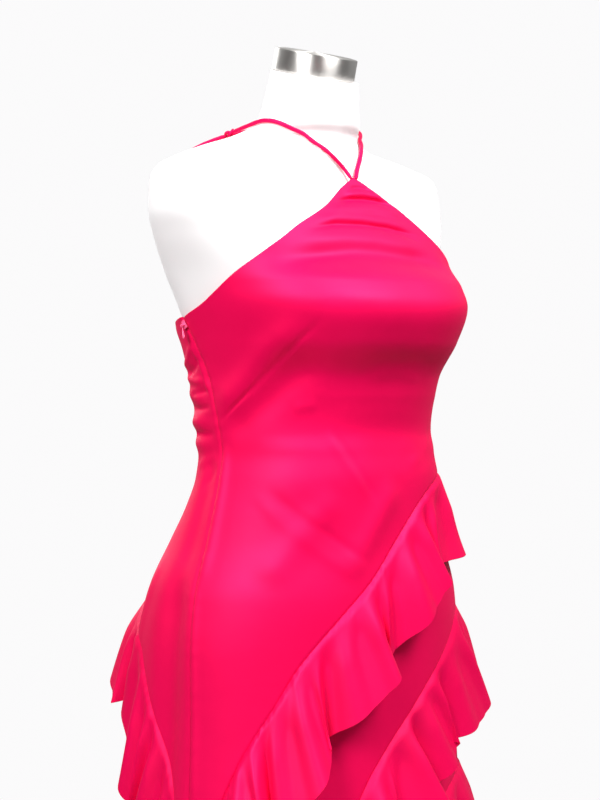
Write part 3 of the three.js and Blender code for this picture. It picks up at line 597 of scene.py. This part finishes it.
def make_satin():
    made, nodes, links, shader = material("pink satin")
    place = node(nodes, "ShaderNodeTexCoord").outputs
    set_finish(shader, Roughness=0.56, Metallic=0.3, Specular_IOR_Level=0.14, Anisotropic=0.35,
               Sheen_Weight=0.03, Sheen_Roughness=0.35, Sheen_Tint=(1.0, 0.35, 0.6, 1))
    # The dye is a little uneven, over a hand's breadth.
    dye = mottle(nodes, links, shader, noise(nodes, links, place["Object"], 9.0, 3.0),
                 (0.74, 0.0006, 0.071), (0.8, 0.0008, 0.081))
    dye.elements[0].position, dye.elements[1].position = 0.3, 0.7
    # Fine warp floats of the satin weave, along the grain, under a soft unevenness of the hanging cloth.
    floats = stretched_noise(nodes, links, place["UV"], (2600, 420, 1), 2.0)
    weave = roughen(nodes, links, shader, floats, 0.06, 0.0002)
    crumple = noise(nodes, links, place["Object"], 34.0, 3.0, Roughness=0.45)
    roughen(nodes, links, shader, crumple, 0.22, 0.0016, under=weave)
    tangent = node(nodes, "ShaderNodeTangent", direction_type="UV_MAP", uv_map="cloth")
    links.new(tangent.outputs["Tangent"], shader.inputs["Tangent"])
    return made


def make_jersey():
    made, nodes, links, shader = material("white jersey")
    place = node(nodes, "ShaderNodeTexCoord").outputs["Object"]
    set_finish(shader, Roughness=0.85, Sheen_Weight=0.15)
    soiled = noise(nodes, links, place, 6.0, 4.0)
    mottle(nodes, links, shader, soiled, (0.72, 0.7, 0.705), (0.78, 0.762, 0.765))
    roughen(nodes, links, shader, noise(nodes, links, place, 900.0, 3.0), 0.12, 0.0003)
    return made


def make_steel():
    made, nodes, links, shader = material("brushed neck cap")
    place = node(nodes, "ShaderNodeTexCoord").outputs["Object"]
    set_finish(shader, Metallic=1.0, Base_Color=(0.8, 0.78, 0.75, 1), Anisotropic=0.85,
               Anisotropic_Rotation=0.25)
    around = node(nodes, "ShaderNodeTangent", direction_type="RADIAL", axis="Z")
    links.new(around.outputs["Tangent"], shader.inputs["Tangent"])
    scratch = stretched_noise(nodes, links, place, (30, 30, 2600), 4.0)
    gloss = node(nodes, "ShaderNodeMapRange")
    gloss.inputs["To Min"].default_value, gloss.inputs["To Max"].default_value = 0.34, 0.46
    links.new(scratch, gloss.inputs["Value"])
    links.new(gloss.outputs["Result"], shader.inputs["Roughness"])
    roughen(nodes, links, shader, scratch, 0.08, 0.0002)
    return made


def make_paint():
    made, nodes, links, shader = material("stand paint")
    place = node(nodes, "ShaderNodeTexCoord").outputs["Object"]
    set_finish(shader, Roughness=0.4, Coat_Weight=0.2)
    tone = noise(nodes, links, place, 4.0, 3.0)
    mottle(nodes, links, shader, tone, (0.74, 0.73, 0.72), (0.8, 0.79, 0.78))
    roughen(nodes, links, shader, noise(nodes, links, place, 420.0, 2.0), 0.05, 0.0003)
    return made


def make_resin():
    made, nodes, links, shader = material("zip enamel")
    place = node(nodes, "ShaderNodeTexCoord").outputs["Object"]
    set_finish(shader, Roughness=0.28)
    wear = noise(nodes, links, place, 300.0, 3.0)
    mottle(nodes, links, shader, wear, (0.86, 0.06, 0.2), (1.0, 0.16, 0.36))
    return made


SATIN = make_satin()
JERSEY = make_jersey()
STEEL = make_steel()
PAINT = make_paint()
RESIN = make_resin()

# ------------------------------------------------------------------ gown panels
FRONT = (-90, 90)
BACK = (90, 270)
HALF_GAP_TURN = 0.5 * SEAM_GAP / 2.4
PANEL_TURN_STEP = 1.0
PANEL_ROW_STEP = 3.0
# Rows lie closer together at the creases and at the seam: even shares of the height, and where they go.
ROW_SHARES = ([0, 0.42, 0.96, 1], [0, 0.22, 0.984, 1])
SIDE_SEAM_SINK = 1.5
SEAM_GROOVE = 0.9


def panel_relief(turn, z):
    """Fine form of a panel: its creases, and side seams that sink in a little and pucker."""
    relief = crease_height(turn, z)
    for seam in (90, -90, 270):
        away = np.abs(turn - seam) * MM_PER_DEGREE
        relief = relief - SIDE_SEAM_SINK * gauss(away, 2.4)
        relief = relief + 0.35 * gauss(away, 12) * waviness(z, 15, seed=int(seam) + 400)
    return relief


def panel(name, span, top, bottom, inset):
    turns = np.linspace(span[0] + HALF_GAP_TURN, span[1] - HALF_GAP_TURN,
                        int((span[1] - span[0]) / PANEL_TURN_STEP) + 1)
    tall = float(np.max(top(turns) - bottom(turns)))
    rows = int(0.92 * tall / PANEL_ROW_STEP) + 1
    share = np.interp(np.linspace(0, 1, rows), *ROW_SHARES)
    turn, v = np.meshgrid(turns, share)
    z = lerp(top(turn), bottom(turn), v)
    seam = -SEAM_GROOVE * gauss(z - bottom(turn), 2.2)
    points = gown_point(turn, z, inset, panel_relief(turn, z) + seam)
    uv = np.stack([turn * MM_PER_DEGREE, z], -1)
    piece = settle(shell(f"{name}_cloth", points, uv, SATIN), "satin", name)
    declare_cloth(points)


def make_panels():
    def above(tier):
        return lambda turn: seam_height(tier, turn) + SEAM_GAP / 2

    def lapped(tier):
        return lambda turn: seam_height(tier, turn) + TIER_LAP

    panel("front_panel", FRONT, top_edge, above("first"), 0)
    panel("back_panel", BACK, top_edge, above("first"), 0)
    for tier, over, inset in (("second", "first", TIER_STEP), ("third", "second", 2 * TIER_STEP)):
        for side, span in (("front", FRONT), ("back", BACK)):
            name = f"{tier}_tier_{side}"
            panel(name, span, lapped(over), above(tier), inset)


# ------------------------------------------------------------------ ruffles
RUFFLE_STEP = 2.6
RUFFLE_ROWS = 30
RUFFLE_PUFF = 1.8
RUFFLE_TURNED_UP = 3
RIPPLE_HEIGHT, RIPPLE_PITCH, DEEPEST_DENT = 5.5, 40, 3.5


def seam_run(tier, inset):
    """The seam's length from the left side round to each turn."""
    turns = np.arange(-120, 300.01, 1.0)
    points = gown_point(turns, seam_height(tier, turns), inset)
    steps = np.linalg.norm(np.diff(points, axis=0), axis=1)
    return {"turn": turns, "length": np.concatenate([[0], np.cumsum(steps)])}


def make_ruffle(tier):
    inset = TIERS.index(tier) * TIER_STEP
    run = seam_run(tier, inset)
    rows = RUFFLES[tier]

    def length_of(turn):
        return np.interp(turn, run["turn"], run["length"])

    def turn_of(length):
        return np.interp(length, run["length"], run["turn"])

    total = length_of(270) - length_of(-90)
    crests = length_of(rows["turn"])
    ring = {"at": np.concatenate([[crests[-1] - total], crests, [crests[0] + total]])}
    for name in ("reach", "depth"):
        ring[name] = np.concatenate([rows[name][-1:], rows[name], rows[name][:1]])

    def point(length, share):
        k = np.clip(np.searchsorted(ring["at"], length, side="right") - 1, 0, len(ring["at"]) - 2)
        pitch = ring["at"][k + 1] - ring["at"][k]
        t = (length - ring["at"][k]) / pitch
        reach = lerp(ring["reach"][k], ring["reach"][k + 1], smooth(t))
        depth = lerp(ring["depth"][k], ring["depth"][k + 1], smooth(t))
        phase = 2 * math.pi * t
        turn = turn_of(length)
        z = seam_height(tier, turn) - SEAM_GAP / 2
        delta = 12
        rise = seam_height(tier, turn_of(length + delta)) - seam_height(tier, turn_of(length - delta))
        slope = np.arcsin(np.clip(rise / (2 * delta), -0.9, 0.9))
        square = np.stack([np.sin(slope), -np.cos(slope)], -1)
        hang = square * RUFFLE_LEAN + np.array([0, RUFFLE_LEAN - 1])
        hang /= np.linalg.norm(hang, axis=-1, keepdims=True)
        crest = lerp(0.5 + 0.5 * np.cos(phase), np.abs(np.cos(phase / 2)), RUFFLE_CUSP)
        deep = depth - RUFFLE_LIFT * (1 - crest)
        drop = np.minimum(deep / (hang * square).sum(-1), 1.4 * deep) * share
        grown = share**0.9
        sway = grown * (RUFFLE_ROUND * pitch / (2 * math.pi) * np.sin(phase) - RUFFLE_ROLL * crest)
        sway = sway + grown * RUFFLE_FOLD * (1 - crest)
        sideways = hang[..., 0] * drop + sway * np.cos(slope)
        height = z + hang[..., 1] * drop + sway * np.sin(slope)
        out = (RUFFLE_VALLEY + (reach - RUFFLE_VALLEY) * crest) * grown
        # Its sewn edge turns up behind the cloth above, and it puffs out a little just below the seam.
        sewn = gauss(share, 0.012)
        out = out + RUFFLE_PUFF * smooth(share * 16) - (CLOTH + 1.4) * sewn
        height = height + RUFFLE_TURNED_UP * sewn
        # Gathers: small uneven tucks that start at the seam and die out in the ruffle's upper half.
        seed = TIERS.index(tier)
        tucks = 0.5 * waviness(length, 12, seed=30 + seed) * np.exp(-share * 6)
        fading = np.exp(-share * 2.4) * smooth(share * 9)
        tucks = tucks + 1.1 * waviness(length, 30, seed=60 + seed) * fading
        radius = np.linalg.norm(gown_point(turn, height, inset)[..., :2], axis=-1)
        # Folds between the crests, which run from the seam to the hem and open towards it.
        ripple = RIPPLE_HEIGHT * waviness(length, RIPPLE_PITCH, seed=90 + seed, layers=1)
        ripple = ripple * smooth(share * 2.2)
        at = turn + sideways / radius / DEG
        lie = inset - out - np.maximum(tucks + ripple, -DEEPEST_DENT)
        return gown_point(at, height, lie, crease_height(at, height))

    for side, span in (("front", FRONT), ("back", BACK)):
        start, end = length_of(span[0]) + SEAM_GAP, length_of(span[1]) - SEAM_GAP
        lengths = np.linspace(start, end, int((end - start) / RUFFLE_STEP) + 1)
        shares = np.linspace(0, 1, RUFFLE_ROWS) ** 1.05
        length, share = np.meshgrid(lengths, shares)
        uv = np.stack([length, -share * 90], -1)
        name = f"{tier}_ruffle_{side}"
        points = point(length, share)
        piece = settle(shell(f"{name}_cloth", points, uv, SATIN), "satin", name)
        declare_cloth(points)


# ------------------------------------------------------------------ form and stand
def make_form():
    sides = 180
    turns = np.arange(sides) * 360 / sides
    levels = np.concatenate([
        np.linspace(FORM_BOTTOM, 1150, 60), np.linspace(1155, 1340, 46), np.linspace(1342, 1420, 52),
        np.linspace(1423, CAP_MIDDLE_Z, 20),
    ])
    turn, z = np.meshgrid(turns, levels)
    points = point_at(turn, z, form_radius(turn, z))
    points[..., 2] += points[..., 1] * math.tan(CAP_TILT * DEG) * smooth((z - 1395) / 60)
    rows = len(levels)
    index = np.arange(rows * sides).reshape(rows, sides)
    across = np.roll(index, -1, 1)
    faces = np.stack([index[:-1], index[1:], across[1:], across[:-1]], -1).reshape(-1, 4).tolist()
    faces.append(index[0].tolist())
    faces.append(index[-1][::-1].tolist())
    form = new_object("form_cover", points.reshape(-1, 3), faces, JERSEY, sharp=50)
    settle(form, "form_cover", "form_torso")


def make_cap():
    edge = 1.6
    outline = [(0, 0), (CAP_RADIUS - edge, 0), (CAP_RADIUS - 0.4, 0.4), (CAP_RADIUS, edge),
               (CAP_RADIUS, CAP_HEIGHT - edge), (CAP_RADIUS - 0.4, CAP_HEIGHT - 0.4),
               (CAP_RADIUS - edge, CAP_HEIGHT), (CAP_RADIUS - 8, CAP_HEIGHT + 0.9), (0, CAP_HEIGHT + 1.8)]
    cap = lathe("neck_cap_steel", outline, STEEL, sides=160)
    lifted = Matrix.Translation((0, 0, (CAP_MIDDLE_Z + SEAM_GAP) * MM))
    cap.data.transform(lifted @ Matrix.Rotation(CAP_TILT * DEG, 4, "X"))
    settle(cap, "neck_cap", "neck_cap")


def make_stand():
    bevel = 3
    base = lathe("stand_base_disc", [
        (0, 0), (STAND_RADIUS - 1, 0), (STAND_RADIUS, 1), (STAND_RADIUS, STAND_THICKNESS - bevel),
        (STAND_RADIUS - bevel * 0.3, STAND_THICKNESS - bevel * 0.3),
        (STAND_RADIUS - bevel, STAND_THICKNESS),
        (0, STAND_THICKNESS)], PAINT)
    settle(base, "stand", "stand_base")
    bottom, top = STAND_THICKNESS + SEAM_GAP, FORM_BOTTOM - SEAM_GAP
    collar = POST_RADIUS + 7
    post = lathe("stand_post_tube", [
        (0, bottom), (collar, bottom), (collar, bottom + 22), (collar - 2, bottom + 25),
        (POST_RADIUS, bottom + 26), (POST_RADIUS, top - 30), (POST_RADIUS + 5, top - 28),
        (POST_RADIUS + 5, top), (0, top)], PAINT, sides=64)
    settle(post, "stand", "stand_post")


# ------------------------------------------------------------------ halter
def form_point(turn, z):
    return point_at(turn, z, form_radius(turn, z))


def off_form(turn, z, height):
    step = 0.5
    along = form_point(turn + step, z) - form_point(turn - step, z)
    down = form_point(turn, z - step) - form_point(turn, z + step)
    normal = np.cross(along, down)
    normal /= np.linalg.norm(normal, axis=-1, keepdims=True)
    return form_point(turn, z) + normal * height[..., None]


REST = STRAP_RADIUS + 1.1
STRAP_RIGHT = [
    [2.6, 1338.8, REST + 2], [4.8, 1349.4, REST], [11, 1358.6, REST], [16, 1366.6, REST],
    [20.5, 1375.5, REST], [28, 1385.5, REST], [41, 1393.6, REST], [54, 1398.6, REST], [66, 1402, REST],
    [78, 1404.2, REST], [90, 1404.2, REST], [101, 1399.5, REST], [110.5, 1393.25, REST + 1.5],
]
STRAP_LEFT = [
    [-2.6, 1338.8, REST + 2], [-7, 1347.8, REST], [-11, 1357, REST], [-18, 1369.5, REST],
    [-30, 1381.6, REST], [-46, 1391.5, REST], [-64, 1399, REST], [-88, 1405, REST], [-115, 1408, REST],
    [-148, 1408, REST], [-180, 1406.5, REST], [-208, 1403.5, REST], [-226, 1399, REST],
    [-240.7, 1392.9, REST + 1.5],
]
TIE_RIGHT = [
    [111.2, 1389.15, REST + 1.5], [110, 1381, REST], [112, 1373, REST], [118, 1356, REST],
    [123.5, 1330, REST], [127, 1300, REST], [129, 1262, REST], [130, 1226, REST],
]
TIE_LEFT = [
    [115.2, 1388.6, REST + 1.7], [128, 1379, REST + 0.6], [137, 1362, REST], [142.5, 1332, REST],
    [145, 1300, REST], [146, 1270, REST], [146, 1242, REST],
]
KNOT = {"turn": 114, "z": 1391.5, "height": 5.8}
KNOT_RING, KNOT_SWING, KNOT_THICK, KNOT_TUBE = 4.1, 1.8, 2.3, 0.66 * STRAP_RADIUS


def strap_route(rows, step=2.0):
    """Evenly spaced points along a strap's route over the form, on a spline through its rows."""
    rows = np.array(rows, float)
    keys = np.concatenate([[2 * rows[0] - rows[1]], rows, [2 * rows[-1] - rows[-2]]])
    at = np.linspace(0, len(rows) - 1, 24 * len(rows))
    k = np.minimum(at.astype(int), len(rows) - 2)
    t = (at - k)[:, None]
    a, b, c, d = (keys[k + i] for i in range(4))
    here = 0.5 * (2 * b + (c - a) * t + (2 * a - 5 * b + 4 * c - d) * t**2 + (3 * b - a - 3 * c + d) * t**3)
    fine = off_form(here[:, 0], here[:, 1], here[:, 2])
    run = np.concatenate([[0], np.cumsum(np.linalg.norm(np.diff(fine, axis=0), axis=1))])
    even = np.linspace(0, run[-1], int(run[-1] / step) + 1)
    route = np.stack([np.interp(even, run, fine[:, i]) for i in range(3)], -1)
    for _ in range(12):
        route[1:-1] = 0.25 * route[:-2] + 0.5 * route[1:-1] + 0.25 * route[2:]
    return route


def make_halter():
    for name, rows, seed in (("halter_strap_right", STRAP_RIGHT, 1), ("halter_strap_left", STRAP_LEFT, 2),
                             ("tie_end_right", TIE_RIGHT, 3), ("tie_end_left", TIE_LEFT, 4)):
        route = strap_route(rows)
        count = len(route)
        ends = np.minimum(1, 0.62 + 0.2 * np.minimum(np.arange(count), np.arange(count)[::-1]))
        radii = STRAP_RADIUS * ends * (1 + 0.05 * waviness(np.arange(count) * 2.0, 17, seed))
        piece = tube(f"{name}_tube", route, radii, SATIN, flat=0.8, twist=0.01 * (1 if seed % 2 else -1))
        settle(piece, "satin", name)
    a = np.linspace(0, 2 * math.pi, 120, endpoint=False)
    away = KNOT_RING + KNOT_SWING * np.cos(3 * a)
    flat = np.stack([away * np.cos(2 * a), away * np.sin(2 * a), KNOT_THICK * np.sin(3 * a)], -1)
    turn, z, height = (np.array(KNOT[k], float) for k in ("turn", "z", "height"))
    middle = off_form(turn, z, height)
    beyond = off_form(turn, z, height + 10)
    facing = (beyond - middle) / np.linalg.norm(beyond - middle)
    right = np.cross([0, 1, 0], facing)
    right /= np.linalg.norm(right)
    up = np.cross(facing, right)
    centres = middle + flat[:, :1] * right + flat[:, 1:2] * up + flat[:, 2:] * facing
    knot = tube("halter_knot_tube", centres, [KNOT_TUBE] * len(a), SATIN, closed=True)
    settle(knot, "satin", "halter_knot")


# ------------------------------------------------------------------ zip
ZIP_Z, ZIP_PIN_OUT = 1179, 3.9
EYE_RADIUS, EYE_THICK = 1.35, 0.5
DROP_START, DROP_LENGTH, DROP_NARROW, DROP_WIDE, DROP_FLAT = 1.7, 14.6, 0.75, 2.45, 0.34


def make_zip():
    """The slider stays as it is, and its pull gets a teardrop on a round eye."""
    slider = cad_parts["zip_slider"]
    slider.data.materials.clear()
    slider.data.materials.append(RESIN)

    def unit(v):
        return v / np.linalg.norm(v)

    def seam(turn, z):
        return gown_point(np.array(float(turn)), np.array(float(z)))

    up = unit(seam(90, ZIP_Z + 4) - seam(90, ZIP_Z - 4))
    out = unit(np.cross(seam(88, ZIP_Z) - seam(92, ZIP_Z), up))
    out = out if out[0] < 0 else -out
    across = np.cross(out, up)
    pin = seam(90, ZIP_Z) + out * (SEAM_GAP + ZIP_PIN_OUT)
    down = unit(np.array([0, 0, -1.0]) - across * -across[2])
    outward = np.cross(across, down)
    a = np.linspace(0, 2 * math.pi, 40, endpoint=False)[:, None]
    ring = pin + EYE_RADIUS * (np.cos(a) * down + np.sin(a) * outward)
    eye = tube("zip_pull_eye", ring, [EYE_THICK] * len(a), RESIN, sides=12, closed=True)
    settle(eye, "zip", body=PULL_BODY)
    t = np.linspace(0, 1, 44)
    rounded = np.sqrt(np.clip(1 - (np.maximum(t - 0.8, 0) / 0.2) ** 2, 0.002, 1))
    widths = lerp(DROP_NARROW, DROP_WIDE, smooth((t - 0.12) / 0.62)) * rounded
    middles = pin + down * (DROP_START + DROP_LENGTH * t)[:, None]
    drop = tube("zip_pull_drop", middles, widths, RESIN, sides=20, flat=DROP_FLAT, wide=across)
    settle(drop, "zip", "zip_pull_tab", body=PULL_BODY)


# ------------------------------------------------------------------ studio
def make_camera():
    azimuth, distance, height, shift, focal_px = VIEW_AZIMUTH * DEG, 2400, 1096, -14.7, 2123.9
    frame_height_px, sensor = 800, 36.0
    forward = Vector((math.sin(azimuth), math.cos(azimuth), 0))
    right = Vector((math.cos(azimuth), -math.sin(azimuth), 0))
    data = bpy.data.cameras.new("camera")
    data.sensor_width = sensor
    data.lens = sensor * focal_px / frame_height_px
    camera = bpy.data.objects.new("camera", data)
    camera.location = (right * shift - forward * distance + Vector((0, 0, height))) * MM
    camera.rotation_mode = "QUATERNION"
    camera.rotation_quaternion = forward.to_track_quat("-Z", "Y")
    bpy.context.scene.collection.objects.link(camera)
    bpy.context.scene.camera = camera


def area_light(name, place, target, size, power, spread=180, glossy=True):
    data = bpy.data.lights.new(name, "AREA")
    data.spread = spread * DEG
    data.shape = "RECTANGLE"
    data.size, data.size_y = size
    data.energy = power
    light = bpy.data.objects.new(name, data)
    light.location = place
    light.rotation_mode = "QUATERNION"
    light.rotation_quaternion = (Vector(target) - Vector(place)).to_track_quat("-Z", "Y")
    light.visible_glossy = glossy
    bpy.context.scene.collection.objects.link(light)


def ranged(nodes, links, value, *limits):
    """A value eased from one range to another: from min, from max, to min, to max."""
    made = node(nodes, "ShaderNodeMapRange", interpolation_type="SMOOTHSTEP")
    for name, limit in zip(("From Min", "From Max", "To Min", "To Max"), limits):
        made.inputs[name].default_value = limit
    links.new(value, made.inputs["Value"])
    return made.outputs["Result"]


def make_world():
    world = bpy.data.worlds.new("studio")
    world.use_nodes = True
    nodes, links = world.node_tree.nodes, world.node_tree.links
    seen = nodes["Background"]
    seen.inputs["Color"].default_value = (0.965, 0.96, 0.965, 1)
    # The white backdrop lights the sides and the rims, the ceiling the upper faces, and the front is dim.
    lit = node(nodes, "ShaderNodeBackground", Color=(1, 1, 1, 1))
    place = node(nodes, "ShaderNodeTexCoord")
    towards = node(nodes, "ShaderNodeVectorMath", operation="DOT_PRODUCT")
    towards.inputs[1].default_value = (math.sin(VIEW_AZIMUTH * DEG), math.cos(VIEW_AZIMUTH * DEG), 0)
    links.new(place.outputs["Generated"], towards.inputs[0])
    backdrop = ranged(nodes, links, towards.outputs["Value"], -0.35, 0.65, 0.08, 0.42)
    split = node(nodes, "ShaderNodeSeparateXYZ")
    links.new(place.outputs["Generated"], split.inputs["Vector"])
    ceiling = ranged(nodes, links, split.outputs["Z"], -0.7, 0.9, 0.25, 1.3)
    strength = node(nodes, "ShaderNodeMath", operation="MULTIPLY")
    links.new(backdrop, strength.inputs[0])
    links.new(ceiling, strength.inputs[1])
    links.new(strength.outputs["Value"], lit.inputs["Strength"])
    path = node(nodes, "ShaderNodeLightPath")
    mix = node(nodes, "ShaderNodeMixShader")
    links.new(path.outputs["Is Camera Ray"], mix.inputs["Fac"])
    links.new(lit.outputs["Background"], mix.inputs[1])
    links.new(seen.outputs["Background"], mix.inputs[2])
    links.new(mix.outputs["Shader"], nodes["World Output"].inputs["Surface"])
    bpy.context.scene.world = world
    bpy.context.scene.view_settings.view_transform = "Standard"


def make_lights():
    area_light("key", (0.35, -1.9, 3.15), (0, 0, 1.2), (1.5, 1.1), 128)
    area_light("left", (-2.5, -0.7, 2.7), (0, 0, 1.3), (1.4, 1.8), 34, spread=80)
    area_light("front fill", (0.0, -3.4, 2.2), (0, 0, 1.1), (2.6, 2.0), 22, glossy=False)
    area_light("back", (0.8, 3.3, 2.4), (0, 0, 1.0), (2.2, 2.0), 46)


def make_floor():
    mesh = bpy.data.meshes.new("floor")
    radius, count = 1.9, 96
    angles = [2 * math.pi * k / count for k in range(count)]
    ring = [(radius * math.cos(a), radius * math.sin(a), -0.0005) for a in angles]
    mesh.from_pydata(ring, [], [tuple(range(count))])
    paint, nodes, links, shader = material("pale floor")
    set_finish(shader, Roughness=0.9)
    mottle(nodes, links, shader, noise(nodes, links, None, 1.2, 4.0), (0.44, 0.44, 0.44), (0.5, 0.5, 0.5))
    # It fades into the backdrop some way out.
    place = node(nodes, "ShaderNodeTexCoord")
    away = node(nodes, "ShaderNodeVectorMath", operation="LENGTH")
    links.new(place.outputs["Object"], away.inputs[0])
    links.new(ranged(nodes, links, away.outputs["Value"], 0.45, 1.8, 1.0, 0.0), shader.inputs["Alpha"])
    mesh.materials.append(paint)
    floor = bpy.data.objects.new("floor", mesh)
    bpy.context.scene.collection.objects.link(floor)


make_camera()
make_halter()
make_panels()
for tier_name in TIERS:
    make_ruffle(tier_name)
make_form()
make_cap()
make_stand()
make_zip()
make_world()
make_lights()
make_floor()
